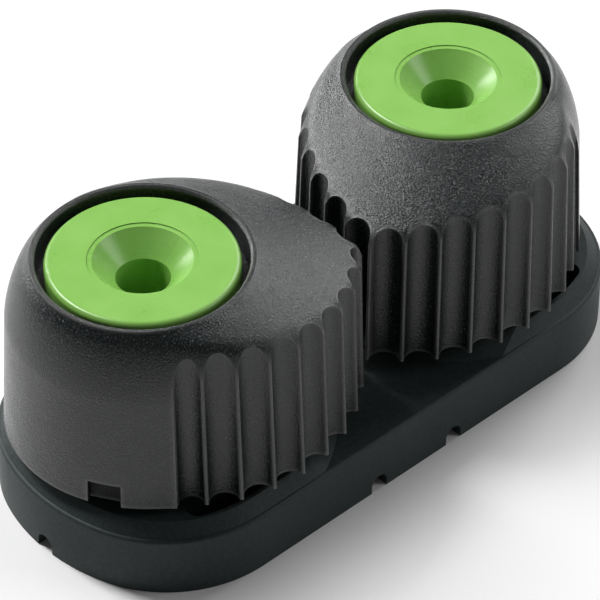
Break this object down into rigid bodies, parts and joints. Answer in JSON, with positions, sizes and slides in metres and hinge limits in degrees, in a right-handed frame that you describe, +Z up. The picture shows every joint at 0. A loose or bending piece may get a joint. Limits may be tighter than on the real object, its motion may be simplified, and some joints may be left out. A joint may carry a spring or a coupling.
{
  "type": "cam cleat",
  "caption": "Double cam cleat for rope: two fluted, spring-loaded cams that pivot on countersunk hubs on a moulded base plate with screw holes through the hubs.",
  "frame": {"origin": "Centre of the bounding box on the underside of the base.", "axes": "X runs along the base through both hubs' side, Y is the way the rope runs, towards the load on +Y, and Z points up from the deck."},
  "size_m": [0.065, 0.0301, 0.0267],
  "materials": {
    "base": "smooth moulded",
    "hub": "satin moulded",
    "cam": "fine speckled composite",
    "spring": "drawn wire",
    "balls": "polished"
  },
  "bodies": {
    "mounting": {"base": "base", "left_hub": "hub", "right_hub": "hub", "left_spring": "spring", "right_spring": "spring"},
    "left_cam": {"left_cam": "cam"},
    "right_cam": {"right_cam": "cam"},
    "left_balls": {"left_lower_balls": "balls", "left_upper_balls": "balls"},
    "right_balls": {"right_lower_balls": "balls", "right_upper_balls": "balls"}
  },
  "joints": [
    {"name": "left_cam_swing", "type": "hinge", "parent": "mounting", "child": "left_cam", "pos_m": [-0.019, 0.00097, 0.0175], "axis": [0, 0, -1], "range_deg": [0, 65], "stiffness_Nm_per_rad": 0.05, "springref_deg": -28.65, "deforming": ["left_spring"]},
    {"name": "right_cam_swing", "type": "hinge", "parent": "mounting", "child": "right_cam", "pos_m": [0.019, 0.00097, 0.0175], "axis": [0, 0, 1], "range_deg": [0, 65], "stiffness_Nm_per_rad": 0.05, "springref_deg": -28.65, "deforming": ["right_spring"]},
    {"name": "left_balls_roll", "type": "hinge", "parent": "mounting", "child": "left_balls", "pos_m": [-0.019, 0.00097, 0.0175], "axis": [0, 0, -1], "range_deg": [0, 40]},
    {"name": "right_balls_roll", "type": "hinge", "parent": "mounting", "child": "right_balls", "pos_m": [0.019, 0.00097, 0.0175], "axis": [0, 0, 1], "range_deg": [0, 40]}
  ],
  "couplings": [
    {"joint": "left_balls_roll", "follows": "left_cam_swing", "ratio": 0.6087},
    {"joint": "right_balls_roll", "follows": "right_cam_swing", "ratio": 0.6087}
  ]
}
